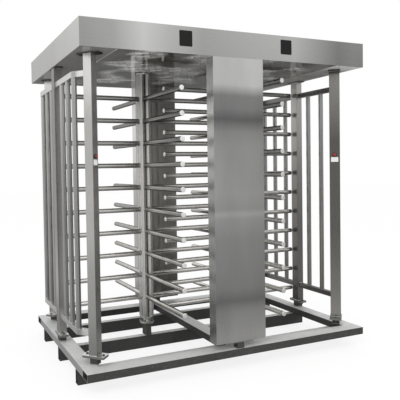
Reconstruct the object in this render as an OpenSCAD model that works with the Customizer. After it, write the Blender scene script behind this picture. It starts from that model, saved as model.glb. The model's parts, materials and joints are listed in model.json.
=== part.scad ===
// Full height turnstile with two passages: a barred walk-through gate of brushed stainless steel.
// +X runs along the canopy, -Y is the front, +Z is up. The origin is on the floor under the middle.
// The sunk base, three cross beams under a ring of flat beams, goes below the finished floor.

/* [Canopy] */
// Depth of the canopy, front to rear
canopy_w = 1530; // [1500:10:1700]
// Height of the canopy's fascia
canopy_h = 187; // [175:1:240]
// Height of the whole gate above the underside of its base
total_h = 2440; // [2400:10:2600]
// Thickness of the canopy's sheet
sheet_t = 2; // [1.5:0.5:3]
// Width of an indicator window
window_w = 100; // [60:1:110]
// Height of an indicator window
window_h = 108; // [60:1:115]
// Rounding of a window's corners
window_round = 8; // [2:1:14]

/* [Rotors] */
// Reach of an arm from the rotor's axis
arm_reach = 672; // [640:1:690]
// Distance from an arm's tip to the other rotor's axis, as the arm passes it
tip_clearance = 168; // [150:1:190]
// Diameter of an arm's tube
arm_d = 38; // [32:1:42]
// Wall of an arm's tube
arm_wall = 2; // [1.5:0.5:4]
// Number of arm rows on the left rotor; the right one has one row more
arm_rows = 10; // [8:1:10]
// Drop from the ceiling to the left rotor's highest row of arms
top_row_drop = 213; // [190:1:260]
// Height of the left rotor's lowest row of arms
low_row_z = 420; // [400:1:440]
// Diameter of one tube of the rotor's column
column_tube_d = 48; // [42:1:50]
// Wall of a column tube
column_wall = 3; // [2:0.5:5]
// Distance of each column tube's axis from the rotor's axis, along X and along Y
column_offset = 27; // [26:0.5:30]
// Angle at which the left rotor stands
left_turn = 1; // [0:1:3]
// Angle at which the right rotor stands
right_turn = 3; // [0:1:3]

/* [Base] */
// Height of a flat base beam
beam_h = 55; // [50:1:65]
// Width of a flat base beam
beam_w = 110; // [100:1:120]
// Wall of the base tubes
beam_wall = 4; // [3:0.5:6]
// Distance that the base stays inside each end of the canopy
base_inset_x = 10; // [8:1:12]
// Distance that the base stays inside the canopy's front and rear
base_inset_y = 5; // [3:1:6]
// Height of a cross beam under the ring
cross_h = 100; // [80:1:120]
// Width of a cross beam
cross_w = 55; // [50:1:70]
// Distance from the base's front and rear to the outer cross beams' axes
cross_inset = 260; // [230:1:300]

/* [Posts] */
// Width of a post, across the line of the guard at a corner
post_w = 80; // [70:1:84]
// Depth of a post
post_d = 60; // [56:1:64]
// Wall of a post
post_wall = 3; // [2:0.5:5]
// Distance of the corner posts' axes from the canopy's ends
corner_inset_x = 123; // [118:1:130]
// Distance of the corner posts' axes from the canopy's front and rear
corner_inset_y = 185; // [178:1:192]
// Distance of the side posts' axes from the canopy's ends
side_inset = 38; // [37:1:40]
// Distance from an arm's tip to the side post's axis, as the arm passes it
guard_clearance = 45; // [40:1:60]
// Height of a stub under a foot plate
stub_h = 45; // [30:1:60]
// Side of a square stub
stub_w = 56; // [50:1:56]
// Thickness of a foot plate
plate_t = 8; // [6:1:12]
// Length of a foot plate, along the line of the guard
plate_l = 165; // [155:1:175]
// Width of a side post's foot plate
plate_w = 70; // [70:1:74]
// Width of a corner post's foot plate
corner_plate_w = 90; // [86:1:96]
// Rounding of a foot plate's corners
plate_round = 12; // [6:1:14]
// Diameter of the bolt holes in the foot plates
bolt_hole_d = 12; // [10.5:0.5:13]
// Distance from a plate's middle to its two bolts
bolt_offset = 62; // [54:1:66]

/* [Guards] */
// Height of the lower guard rail's axis
low_rail_z = 361; // [340:1:420]
// Drop from the ceiling to the upper guard rail's axis
high_rail_drop = 133; // [120:1:170]
// Side of a square guard rail
rail_w = 40; // [36:1:44]
// Wall of a guard rail
rail_wall = 2; // [1.5:0.5:3]
// Length, front to rear, of a rail's slanted part
bend_run_y = 95; // [85:1:110]
// Diameter of a guard bar
bar_d = 38; // [32:1:38]
// Number of spaces between the side post's axis and the bend
bar_spaces = 3; // [2:1:4]

/* [Cabinets] */
// Width of a cabinet
cabinet_w = 420; // [380:1:425]
// Depth of a cabinet
cabinet_d = 93; // [88:1:96]
// Side of the square post in a cabinet
cabinet_post_w = 60; // [50:1:64]

/* [Mechanism] */
// Diameter of a rotor's spindle
spindle_d = 45; // [40:1:50]
// Diameter of the pivot at a rotor's foot
pivot_d = 30; // [26:1:34]
// Radial clearance of a running fit
fit_gap = 0.05; // [0.02:0.01:0.09]
// Clearance between pieces that move past each other
run_gap = 2; // [1:0.5:3]
// Module of the gears
gear_module = 4; // [3.5:0.5:4]
// Teeth of the gear on the spindle
gear_teeth = 54; // [54:6:54]
// Teeth of the damper's pinion
pinion_teeth = 18; // [18:6:18]
// Face width of the gears
gear_t = 12; // [10:1:14]
// Play between the teeth of the two gears
gear_play = 0.4; // [0.3:0.1:0.6]
// Radius of the index disc
disc_r = 105; // [95:1:110]
// Thickness of the index disc
disc_t = 10; // [8:1:12]
// Depth of a notch in the index disc
notch_depth = 16; // [14:1:18]
// Width of a notch in the index disc
notch_w = 32; // [30:1:36]
// Width of the pawl's tooth
tooth_w = 12; // [10:1:14]
// Angle through which a pawl swings
pawl_swing = 12; // [11:1:13]
// Travel of a post's push button
button_travel = 4; // [3:0.5:5]

/* [Hidden] */

overrun = 1;
half_share = 0.5;
steel = [0.62, 0.62, 0.60];
bright = [0.74, 0.74, 0.72];
dark = [0.22, 0.22, 0.22];
black = [0.05, 0.05, 0.05];

// Plan
rotor_x = (arm_reach + tip_clearance) * half_share;
side_x = rotor_x + arm_reach + guard_clearance;
canopy_l = 2 * (side_x + side_inset);
base_l = canopy_l - 2 * base_inset_x;
base_w = canopy_w - 2 * base_inset_y;
corner_x = canopy_l * half_share - corner_inset_x;
corner_y = canopy_w * half_share - corner_inset_y;
cross_y = base_w * half_share - cross_inset;
bend_y = corner_y - bend_run_y;

// Levels
ring_z = cross_h;
beam_top = ring_z + beam_h;
stub_top = beam_top + stub_h;
plate_top = stub_top + plate_t;
post_bottom = plate_top + plate_t;
ceiling_z = total_h - canopy_h;
frame_z = ceiling_z + sheet_t;
flange_t = 8;
post_top = ceiling_z - flange_t;
high_rail_z = ceiling_z - high_rail_drop;
top_row_z = ceiling_z - top_row_drop;
arm_pitch = (top_row_z - low_row_z) / (arm_rows - 1);

// Canopy
window_height_share = 0.56;
window_z = ceiling_z + canopy_h * window_height_share;
subframe_w = 50;
subframe_wall = 3;
member_x = 170;
bearing_hole_d = 84;

// Corner posts stand turned by an eighth of a turn
corner_turn = 45;
bolt_d = 10;
bolt_head_d = 17;
bolt_head_h = 7;
nut_h = 9;

// Rotor
row_half = arm_pitch * half_share;
cap_t = 3;
cap_crown = 2;
cap_crown_share = 0.8;
column_bottom = 260;
column_drop = 16;
column_top = ceiling_z - column_drop;
end_plate_t = 12;
end_plate_rim = 8;
end_plate_d = 2 * (column_offset + column_tube_d * half_share) + end_plate_rim;
cope_gap = 0.2;
cope_depth = 4;
arm_start = column_offset + cope_depth;

// Lower bearing
boss_d = 54;
foot_flange_d = 122;
foot_flange_t = 12;
rotor_stub_x = 42;
rotor_stub_y = 92;
pivot_floor = 6;
pivot_bearing_wall = 5;
foot_bolt_circle_d = 96;
foot_flange_top = plate_top + foot_flange_t;

// Mechanism
mech_plate_t = 12;
mech_plate_x = 400;
mech_plate_y = 440;
mech_z = frame_z + subframe_w;
mech_top = mech_z + mech_plate_t;
housing_flange_d = 150;
housing_flange_t = 12;
housing_d = 80;
bearing_wall = 8;
housing_up = 22;
air_gap = 6;
disc_z = mech_top + housing_up + air_gap;
hub_d = 70;
hub_rise = 8;
gear_z = disc_z + disc_t + hub_rise;
spindle_top = gear_z + gear_t + hub_rise;
centre_distance = gear_module * (gear_teeth + pinion_teeth) * half_share;
damper_gap = 3;
damper_d = 2 * (centre_distance - disc_r - damper_gap);
damper_h = gear_z - mech_top - air_gap;
pinion_shaft_d = 16;
shaft_depth = 20;
pressure_angle = 20;

// Pawl and solenoid, placed about the rotor's axis
pawl_w = 14;
pawl_arm = 75;
pawl_tail = 52;
push_arm = 40;
pawl_eye_d = 26;
pawl_pin_d = 12;
pawl_stand = 20;
pawl_pivot_x = disc_r + pawl_stand;
tooth_depth = 13;
nose_d = 12;
nose_gap = 0.3;
solenoid_l = 44;
solenoid_w = 34;
solenoid_rise = 11;
stroke = 10;
solenoid_gap = 4;
nose_centre = (nose_d * half_share + nose_gap + pawl_w * half_share + push_arm * sin(pawl_swing))
    / cos(pawl_swing);

// Buttons and labels on the front posts
button_z = 1561;
button_d = 24;
button_ring_d = 34;
button_ring_h = 8;
button_stand = 12;
button_floor = 1;
label_w = 56;
label_h = 38;
label_t = 1;
label_drop = 40;

// Rectangular tube on end, open at both ends
module upright_tube(x, y, wall, low, high) {
    translate([0, 0, low])
        linear_extrude(height = high - low)
            difference() {
                square([x, y], center = true);
                square([x - 2 * wall, y - 2 * wall], center = true);
            }
}

module square_tube(side, wall, low, high) {
    upright_tube(side, side, wall, low, high);
}

// Rectangular tube lying along X, open at both ends; its middle is at the origin
module beam_x(length, width, height, wall) {
    rotate([90, 0, 90])
        translate([0, 0, -length * half_share])
            linear_extrude(height = length)
                difference() {
                    square([width, height], center = true);
                    square([width - 2 * wall, height - 2 * wall], center = true);
                }
}

module beam_y(length, width, height, wall) {
    rotate([0, 0, 90]) beam_x(length, width, height, wall);
}

// Round tube on end
module round_tube(d, wall, low, high) {
    translate([0, 0, low])
        difference() {
            cylinder(d = d, h = high - low, $fn = 64);
            translate([0, 0, -overrun]) cylinder(d = d - 2 * wall, h = high - low + 2 * overrun, $fn = 64);
        }
}

module block(x, y, low, high) {
    translate([-x * half_share, -y * half_share, low]) cube([x, y, high - low]);
}

// Rectangle with rounded corners, whose centres are half_x and half_y from its middle
module rounded_square(half_x, half_y, round_r) {
    union() {
        square([2 * (half_x + round_r), 2 * half_y], center = true);
        square([2 * half_x, 2 * (half_y + round_r)], center = true);
        for (a = [-1, 1], b = [-1, 1])
            translate([a * half_x, b * half_y]) circle(r = round_r, $fn = 32);
    }
}

// Each corner post's place, then each side post's
module at_corners() {
    for (side = [-1, 1], end = [-1, 1])
        translate([side * corner_x, end * corner_y, 0]) rotate([0, 0, -side * end * corner_turn]) children();
}

module at_sides() {
    for (side = [-1, 1]) translate([side * side_x, 0, 0]) children();
}

cabinet_post_inset = 32;
cabinet_post_y = base_w * half_share - cabinet_post_inset;

module at_cabinets() {
    for (end = [-1, 1]) translate([0, end * cabinet_post_y, 0]) children();
}

module at_rotors() {
    for (side = [-1, 1]) translate([side * rotor_x, 0, 0]) children();
}

module at_side_plates() {
    at_sides() rotate([0, 0, 90]) children();
}

module at_plates() {
    at_corners() children();
    at_side_plates() children();
}

module at_bolts(offset_x) {
    for (side = [-1, 1]) translate([side * offset_x, 0, 0]) children();
}

module at_foot_bolts() {
    for (a = [45 : 90 : 315]) rotate([0, 0, a]) translate([foot_bolt_circle_d * half_share, 0, 0]) children();
}

// Base
beam_mid_z = ring_z + beam_h * half_share;
beam_end_y = base_w * half_share - beam_w * half_share;
beam_end_x = base_l * half_share - beam_w * half_share;
between_beams = base_w - 2 * beam_w;
drain_hole_d = 8;
drain_left_x = 106;
drain_right_x = 563;
drain_drop = 10;
anchor_d = 16;
anchor_inset = 60;
anchor_x = base_l * half_share - anchor_inset;

module end_beam(face) {
    color(dark)
        translate([0, face * beam_end_y, beam_mid_z])
            difference() {
                beam_x(base_l, beam_w, beam_h, beam_wall);
                for (x = [-drain_left_x, drain_right_x])
                    translate([x, 0, -drain_drop])
                        rotate([-90 * face, 0, 0])
                            cylinder(d = drain_hole_d, h = beam_w, $fn = 32);
            }
}

module base_front_beam() { end_beam(-1); }
module base_rear_beam() { end_beam(1); }

module base_left_beam() {
    color(dark) translate([-beam_end_x, 0, beam_mid_z]) beam_y(between_beams, beam_w, beam_h, beam_wall);
}

module base_right_beam() {
    color(dark) translate([beam_end_x, 0, beam_mid_z]) beam_y(between_beams, beam_w, beam_h, beam_wall);
}

module base_centre_beam() {
    color(dark) translate([0, 0, beam_mid_z]) beam_y(between_beams, beam_w, beam_h, beam_wall);
}

// The outer cross beams have anchor holes in their undersides, reached through their open ends
module base_cross_beams() {
    color(dark)
        difference() {
            for (row = [-1, 0, 1])
                translate([0, row * cross_y, cross_h * half_share])
                    beam_x(base_l, cross_w, cross_h, beam_wall);
            for (side = [-1, 1], row = [-1, 1])
                translate([side * anchor_x, row * cross_y, -overrun])
                    cylinder(d = anchor_d, h = beam_wall + 2 * overrun, $fn = 32);
        }
}

module foot_stubs() {
    color(dark) {
        at_corners() square_tube(stub_w, beam_wall, beam_top, stub_top);
        at_sides() square_tube(stub_w, beam_wall, beam_top, stub_top);
        at_cabinets() square_tube(stub_w, beam_wall, beam_top, stub_top);
        at_rotors()
            difference() {
                block(rotor_stub_x, rotor_stub_y, cross_h, stub_top);
                block(rotor_stub_x - 2 * beam_wall, rotor_stub_y - 2 * beam_wall,
                    cross_h - overrun, stub_top + overrun);
            }
    }
}

// A plate with rounded corners
module rounded_plate(length, width, low, high) {
    translate([0, 0, low])
        linear_extrude(height = high - low)
            rounded_square(length * half_share - plate_round, width * half_share - plate_round, plate_round);
}

// A plate with a bolt hole near each end
module bolt_plate(length, width, bolt_x, low, high) {
    difference() {
        rounded_plate(length, width, low, high);
        at_bolts(bolt_x)
            translate([0, 0, low - overrun])
                cylinder(d = bolt_hole_d, h = high - low + 2 * overrun, $fn = 32);
    }
}

module foot_bearing_plate(low, high) {
    difference() {
        translate([0, 0, low]) cylinder(d = foot_flange_d, h = high - low, $fn = 64);
        at_foot_bolts()
            translate([0, 0, low - overrun])
                cylinder(d = bolt_hole_d, h = high - low + 2 * overrun, $fn = 32);
    }
}

cabinet_plate_x = 220;
cabinet_plate_y = 66;
cabinet_bolt_x = 95;

module plate_pair(width) {
    bolt_plate(plate_l, width, bolt_offset, stub_top, plate_top);
    bolt_plate(plate_l, width, bolt_offset, plate_top, post_bottom);
}

module foot_plates() {
    color(steel) {
        at_corners() plate_pair(corner_plate_w);
        at_side_plates() plate_pair(plate_w);
        at_cabinets() bolt_plate(cabinet_plate_x, cabinet_plate_y, cabinet_bolt_x, stub_top, plate_top);
        at_rotors() foot_bearing_plate(stub_top, plate_top);
    }
}

module top_flanges() {
    color(steel) {
        at_corners() rounded_plate(plate_l, corner_plate_w, post_top, ceiling_z);
        at_side_plates() rounded_plate(plate_l, plate_w, post_top, ceiling_z);
    }
}

// Bolt with its head above the plates and its nut below
module bolt(low, high) {
    translate([0, 0, low - nut_h]) cylinder(d = bolt_d, h = high - low + nut_h, $fn = 24);
    translate([0, 0, high]) cylinder(d = bolt_head_d, h = bolt_head_h, $fn = 6);
    translate([0, 0, low - nut_h]) cylinder(d = bolt_head_d, h = nut_h, $fn = 6);
}

module flange_bolts() {
    color(bright) {
        at_plates() at_bolts(bolt_offset) bolt(stub_top, post_bottom);
        at_rotors() at_foot_bolts() bolt(stub_top, foot_flange_top);
    }
}

// Posts
module corner_posts() {
    color(steel) at_corners() post();
}

module side_posts() {
    color(steel) at_sides() post();
}

module post() {
    upright_tube(post_d, post_w, post_wall, post_bottom, post_top);
}

module cabinet_posts() {
    color(steel) at_cabinets() square_tube(cabinet_post_w, post_wall, plate_top + sheet_t, ceiling_z);
}

// Guards: each rail runs straight past the side post's place and turns in to the corner posts
bend_run_x = side_x - corner_x;
slant_angle = atan2(bend_run_x, bend_run_y);

// Plan of one half of a rail: straight from the side post to the bend, then slanted to the corner post
module rail_plan(half_width, past_end) {
    mitre = half_width * tan(slant_angle * half_share);
    slant = half_width * [cos(slant_angle), sin(slant_angle)];
    corner = [-bend_run_x, corner_y] + past_end * [-sin(slant_angle), cos(slant_angle)];
    start = post_w * half_share - past_end;
    polygon([
        [half_width, start], [half_width, bend_y + mitre], corner + slant,
        corner - slant, [-half_width, bend_y - mitre], [-half_width, start]
    ]);
}

module rail_half(height_z) {
    difference() {
        translate([0, 0, height_z - rail_w * half_share])
            linear_extrude(height = rail_w) rail_plan(rail_w * half_share, 0);
        translate([0, 0, height_z - rail_w * half_share + rail_wall])
            linear_extrude(height = rail_w - 2 * rail_wall)
                rail_plan(rail_w * half_share - rail_wall, overrun);
        translate([-bend_run_x, corner_y, 0])
            rotate([0, 0, -corner_turn])
                block(post_d, post_w, height_z - rail_w, height_z + rail_w);
    }
}

module guard_rails() {
    for (height_z = [low_rail_z, high_rail_z], end = [0, 1])
        translate([side_x, 0, 0]) mirror([0, end, 0]) rail_half(height_z);
}

module guard_bars() {
    for (end = [-1, 1], i = [1 : bar_spaces])
        translate([side_x, end * bend_y * i / bar_spaces, 0])
            round_tube(bar_d, rail_wall, low_rail_z + rail_w * half_share, high_rail_z - rail_w * half_share);
}

module right_guard_rails() { color(steel) guard_rails(); }
module left_guard_rails() { color(steel) mirror([1, 0, 0]) guard_rails(); }
module right_guard_bars() { color(steel) guard_bars(); }
module left_guard_bars() { color(steel) mirror([1, 0, 0]) guard_bars(); }

// Cabinets: a folded shell that is open to the inside, and a cover that closes it
cabinet_front_y = canopy_w * half_share;
cabinet_mid_y = cabinet_front_y - cabinet_d * half_share;

module cabinet_shell() {
    difference() {
        translate([0, cabinet_mid_y, 0]) block(cabinet_w, cabinet_d, plate_top, ceiling_z);
        translate([0, cabinet_mid_y - sheet_t, 0])
            block(cabinet_w - 2 * sheet_t, cabinet_d, plate_top + sheet_t, ceiling_z + overrun);
        translate([0, cabinet_post_y, 0])
            block(cabinet_post_w * half_share, cabinet_post_w * half_share,
                plate_top - overrun, plate_top + 2 * sheet_t);
    }
}

module cabinet_cover() {
    translate([0, cabinet_front_y - cabinet_d + sheet_t * half_share, 0])
        block(cabinet_w - 2 * sheet_t, sheet_t, plate_top + sheet_t, ceiling_z);
}

module rear_cabinet_shell() { color(steel) cabinet_shell(); }
module front_cabinet_shell() { color(steel) mirror([0, 1, 0]) cabinet_shell(); }
module cabinet_covers() { color(steel) for (end = [0, 1]) mirror([0, end, 0]) cabinet_cover(); }

// Canopy
roof_z = total_h - sheet_t;

module rounded_window(grow) {
    rounded_square(window_w * half_share + grow - window_round,
        window_h * half_share + grow - window_round, window_round);
}

module canopy_front_fascia() {
    color(steel)
        difference() {
            translate([0, -(canopy_w - sheet_t) * half_share, 0]) block(canopy_l, sheet_t, ceiling_z, roof_z);
            for (side = [-1, 1])
                translate([side * rotor_x, -canopy_w * half_share - overrun, window_z])
                    rotate([-90, 0, 0])
                        linear_extrude(height = sheet_t + 2 * overrun) rounded_window(0);
        }
}

module canopy_rear_fascia() {
    color(steel)
        translate([0, (canopy_w - sheet_t) * half_share, 0]) block(canopy_l, sheet_t, ceiling_z, roof_z);
}

module canopy_end_fascias() {
    color(steel)
        for (side = [-1, 1])
            translate([side * (canopy_l - sheet_t) * half_share, 0, 0])
                block(sheet_t, canopy_w - 2 * sheet_t, ceiling_z, roof_z);
}

module canopy_roof() {
    color(steel) block(canopy_l, canopy_w, roof_z, total_h);
}

module canopy_ceiling() {
    color(bright)
        difference() {
            block(canopy_l - 2 * sheet_t, canopy_w - 2 * sheet_t, ceiling_z, frame_z);
            at_rotors()
                translate([0, 0, ceiling_z - overrun])
                    cylinder(d = bearing_hole_d, h = sheet_t + 2 * overrun, $fn = 64);
        }
}

rail_mid_z = frame_z + subframe_w * half_share;
subframe_l = canopy_l - 4 * sheet_t;
side_rail_l = 2 * corner_y - subframe_w;

module canopy_subframe() {
    color(dark) {
        for (end = [-1, 1])
            translate([0, end * corner_y, rail_mid_z])
                beam_x(subframe_l, subframe_w, subframe_w, subframe_wall);
        for (x = [-side_x, -rotor_x - member_x, -rotor_x + member_x,
                rotor_x - member_x, rotor_x + member_x, side_x])
            translate([x, 0, rail_mid_z])
                beam_y(side_rail_l, subframe_w - 2 * sheet_t, subframe_w, subframe_wall);
    }
}

window_t = 4;

module indicator_windows() {
    color(black)
        for (side = [-1, 1])
            translate([side * rotor_x, -canopy_w * half_share + sheet_t, window_z])
                rotate([-90, 0, 0])
                    linear_extrude(height = window_t) rounded_window(window_round);
}

control_box_x = 300;
control_box_y = 220;
control_box_h = 90;

module control_box() {
    color(dark)
        difference() {
            block(control_box_x, control_box_y, frame_z, frame_z + control_box_h);
            block(control_box_x - 4 * sheet_t, control_box_y - 4 * sheet_t,
                frame_z + 2 * sheet_t, frame_z + control_box_h - 2 * sheet_t);
        }
}

// Mechanism
module mechanism_plates() {
    color(steel)
        at_rotors()
            difference() {
                block(mech_plate_x, mech_plate_y, mech_z, mech_top);
                translate([0, 0, mech_z - overrun])
                    cylinder(d = housing_d, h = mech_plate_t + 2 * overrun, $fn = 64);
            }
}

bearing_bore_d = spindle_d + 2 * (fit_gap + bearing_wall);
pivot_bore_d = pivot_d + 2 * (fit_gap + pivot_bearing_wall);

module upper_bearing_housings() {
    color(dark)
        at_rotors()
            difference() {
                union() {
                    translate([0, 0, mech_z]) cylinder(d = housing_d, h = mech_plate_t, $fn = 64);
                    translate([0, 0, mech_top]) cylinder(d = housing_flange_d, h = housing_flange_t, $fn = 64);
                    translate([0, 0, mech_top]) cylinder(d = housing_d, h = housing_up, $fn = 64);
                }
                translate([0, 0, mech_z - overrun])
                    cylinder(d = bearing_bore_d, h = mech_plate_t + housing_up + 2 * overrun, $fn = 64);
            }
}

boss_top = column_bottom - end_plate_t - run_gap;
pivot_bottom = plate_top + pivot_floor;

module lower_bearing_housings() {
    color(bright)
        at_rotors()
            difference() {
                union() {
                    foot_bearing_plate(plate_top, foot_flange_top);
                    translate([0, 0, plate_top]) cylinder(d = boss_d, h = boss_top - plate_top, $fn = 64);
                }
                translate([0, 0, pivot_bottom])
                    cylinder(d = pivot_bore_d, h = boss_top - pivot_bottom + overrun, $fn = 64);
            }
}

// A bush in each upper housing and in each foot bearing
module bush(shaft_d, wall, low, high) {
    translate([0, 0, low])
        difference() {
            cylinder(d = shaft_d + 2 * (fit_gap + wall), h = high - low, $fn = 64);
            translate([0, 0, -overrun])
                cylinder(d = shaft_d + 2 * fit_gap, h = high - low + 2 * overrun, $fn = 64);
        }
}

module bearings() {
    color([0.72, 0.6, 0.35])
        at_rotors() {
            bush(spindle_d, bearing_wall, mech_z, mech_top + housing_up);
            bush(pivot_d, pivot_bearing_wall, pivot_bottom, boss_top);
        }
}

// Rotor
module column_tubes() {
    for (a = [-1, 1], b = [-1, 1])
        translate([a * column_offset, b * column_offset, 0])
            round_tube(column_tube_d, column_wall, column_bottom, column_top);
}

module column_plates() {
    translate([0, 0, column_bottom - end_plate_t]) cylinder(d = end_plate_d, h = end_plate_t, $fn = 64);
    translate([0, 0, column_top]) cylinder(d = end_plate_d, h = end_plate_t, $fn = 64);
}

// One arm along +X; its inner end is coped to lie between two column tubes
arm_end = arm_reach - cap_t - cap_crown;

module arm() {
    difference() {
        translate([arm_start, 0, 0]) rotate([0, 90, 0]) cylinder(d = arm_d, h = arm_end - arm_start, $fn = 48);
        translate([arm_start - overrun, 0, 0])
            rotate([0, 90, 0])
                cylinder(d = arm_d - 2 * arm_wall, h = arm_end - arm_start + 2 * overrun, $fn = 48);
        for (b = [-1, 1])
            translate([column_offset, b * column_offset, -arm_d])
                cylinder(d = column_tube_d + cope_gap, h = 2 * arm_d, $fn = 64);
    }
}

module arm_cap() {
    translate([arm_end, 0, 0]) rotate([0, 90, 0]) {
        cylinder(d = arm_d, h = cap_t, $fn = 48);
        translate([0, 0, cap_t]) cylinder(d1 = arm_d, d2 = arm_d * cap_crown_share, h = cap_crown, $fn = 48);
    }
}

module at_arms(rows, top_z) {
    for (row = [0 : rows - 1], wing = [0 : 3])
        translate([0, 0, top_z - row * arm_pitch]) rotate([0, 0, wing * 90]) children();
}

// Upper spindle through the canopy and lower pivot in the foot bearing
module shafts() {
    translate([0, 0, column_top + end_plate_t])
        cylinder(d = spindle_d, h = spindle_top - column_top - end_plate_t, $fn = 64);
    translate([0, 0, pivot_bottom])
        cylinder(d = pivot_d, h = column_bottom - end_plate_t - pivot_bottom, $fn = 64);
}

module index_disc() {
    difference() {
        union() {
            translate([0, 0, disc_z]) cylinder(r = disc_r, h = disc_t, $fn = 96);
            translate([0, 0, disc_z]) cylinder(d = hub_d, h = gear_z - disc_z, $fn = 64);
        }
        for (a = [0 : 90 : 270])
            rotate([0, 0, a])
                translate([disc_r, 0, 0])
                    block(2 * notch_depth, notch_w, disc_z - overrun, disc_z + disc_t + overrun);
        translate([0, 0, disc_z - overrun])
            cylinder(d = spindle_d, h = gear_z - disc_z + 2 * overrun, $fn = 64);
    }
}

// Involute outline of one gear; the tooth that faces +X is centred there
function gear_base_r(teeth) = gear_module * teeth * half_share * cos(pressure_angle);
function roll_angle(base_r, r) = r > base_r ? sqrt(r * r / base_r / base_r - 1) * 180 / PI : 0;
function involute_turn(base_r, r) = r > base_r ? roll_angle(base_r, r) - acos(base_r / r) : 0;
flank_share = [0, 0.25, 0.5, 0.75, 1];
root_share = 1.25;

function gear_points(teeth) =
    let (
        pitch_r = gear_module * teeth * half_share,
        base_r = gear_base_r(teeth),
        root_r = pitch_r - root_share * gear_module,
        tip_r = pitch_r + gear_module,
        start_r = max(root_r, base_r),
        half_tooth = 90 / teeth - gear_play * half_share / pitch_r * 180 / PI,
        flank = [for (s = flank_share) start_r + (tip_r - start_r) * s],
        turn = [for (r = flank) half_tooth + involute_turn(base_r, pitch_r) - involute_turn(base_r, r)]
    )
    [for (i = [0 : teeth - 1], k = [0 : 2 * len(flank) + 1])
        let (
            n = len(flank),
            r = k == 0 || k == 2 * n + 1 ? root_r : k <= n ? flank[k - 1] : flank[2 * n - k],
            side = k <= n ? -turn[max(k - 1, 0)] : turn[min(2 * n - k, n - 1)],
            own = k == 2 * n + 1 ? turn[0] : side,
            angle = i * 360 / teeth + own
        )
        [r * cos(angle), r * sin(angle)]];

module spur_gear(teeth) {
    linear_extrude(height = gear_t) polygon(gear_points(teeth));
}

module drive_gear() {
    difference() {
        translate([0, 0, gear_z]) spur_gear(gear_teeth);
        translate([0, 0, gear_z - overrun]) cylinder(d = spindle_d, h = gear_t + 2 * overrun, $fn = 64);
    }
}

// The pinion's space between two teeth faces the gear's tooth
pinion_phase = 90 + 180 / pinion_teeth;
gear_phase = 90;

module damper_pinion() {
    translate([0, centre_distance, 0]) {
        translate([0, 0, gear_z]) rotate([0, 0, -pinion_phase]) spur_gear(pinion_teeth);
        translate([0, 0, gear_z - shaft_depth])
            cylinder(d = pinion_shaft_d, h = shaft_depth, $fn = 48);
    }
}

module damper_body() {
    translate([0, centre_distance, mech_top])
        difference() {
            cylinder(d = damper_d, h = damper_h, $fn = 64);
            translate([0, 0, damper_h - shaft_depth])
                cylinder(d = pinion_shaft_d + 2 * fit_gap, h = shaft_depth + overrun, $fn = 48);
        }
}

module damper_bodies() { color(dark) at_rotors() damper_body(); }

// Pawl: drawn as it stands when it is drawn back from the index disc
module pawl() {
    translate([-pawl_pivot_x, pawl_arm, disc_z])
        rotate([0, 0, -pawl_swing])
            difference() {
                union() {
                    cylinder(d = pawl_eye_d, h = disc_t, $fn = 48);
                    translate([-pawl_w * half_share, -pawl_arm - tooth_w * half_share, 0])
                        cube([pawl_w, pawl_arm + pawl_tail + tooth_w * half_share, disc_t]);
                    translate([0, -pawl_arm - tooth_w * half_share, 0])
                        cube([pawl_pivot_x - disc_r + tooth_depth, tooth_w, disc_t]);
                }
                translate([0, 0, -overrun])
                    cylinder(d = pawl_pin_d + 2 * fit_gap, h = disc_t + 2 * overrun, $fn = 48);
            }
}

pivot_shoulder_d = 24;

module pawl_pivot() {
    translate([-pawl_pivot_x, pawl_arm, mech_top]) {
        cylinder(d = pivot_shoulder_d, h = disc_z - mech_top - fit_gap, $fn = 48);
        cylinder(d = pawl_pin_d, h = disc_z + disc_t - mech_top + spring_turns * spring_lead, $fn = 48);
    }
}

module pawl_pivots() { color(bright) at_rotors() pawl_pivot(); }

// Return spring of a pawl: one round wire wound about the pivot, over the pawl's eye
spring_turns = 3;
spring_rings = 8;
spring_sides = 6;
spring_wire_d = 1.4;
spring_r = 8;
spring_lead = 2.1;
spring_lift = 0.3;

function spring_centre(turn) = [
    spring_r * cos(turn * 360), spring_r * sin(turn * 360), spring_lead * turn
];

function spring_point(turn, side) =
    let (
        out = [cos(turn * 360), sin(turn * 360), 0],
        a = side * 360 / spring_sides
    )
    spring_centre(turn) + spring_wire_d * half_share * (cos(a) * out + sin(a) * [0, 0, 1]);

module spring_coil() {
    last = spring_turns * spring_rings;
    points = [for (i = [0 : last], k = [0 : spring_sides - 1]) spring_point(i / spring_rings, k)];
    sides = [for (i = [0 : last - 1], k = [0 : spring_sides - 1])
        let (
            a = i * spring_sides + k,
            b = i * spring_sides + (k + 1) % spring_sides
        )
        each [[a, b, a + spring_sides], [b, b + spring_sides, a + spring_sides]]];
    first_end = [for (k = [1 : spring_sides - 2]) [0, k + 1, k]];
    top = last * spring_sides;
    last_end = [for (k = [1 : spring_sides - 2]) [top, top + k, top + k + 1]];
    polyhedron(points = points, faces = concat(sides, first_end, last_end));
}

module pawl_springs() {
    color(bright)
        at_rotors()
            translate([-pawl_pivot_x, pawl_arm, disc_z + disc_t + spring_lift + spring_wire_d * half_share])
                spring_coil();
}

nose_x = -pawl_pivot_x + nose_centre;
push_y = pawl_arm + push_arm;
push_z = disc_z + disc_t * half_share;
solenoid_x = nose_x + stroke + solenoid_gap;
plunger_in = 30;

module plunger() {
    translate([nose_x, push_y, push_z]) {
        sphere(d = nose_d, $fn = 48);
        rotate([0, 90, 0]) cylinder(d = nose_d, h = solenoid_x - nose_x + plunger_in, $fn = 48);
    }
}

module solenoid() {
    difference() {
        translate([solenoid_x + solenoid_l * half_share, push_y, 0])
            block(solenoid_l, solenoid_w, mech_top, push_z + solenoid_rise);
        translate([solenoid_x - overrun, push_y, push_z])
            rotate([0, 90, 0])
                cylinder(d = nose_d + 2 * fit_gap, h = plunger_in + 2 * overrun, $fn = 48);
    }
}

module solenoids() { color(dark) at_rotors() solenoid(); }

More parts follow.
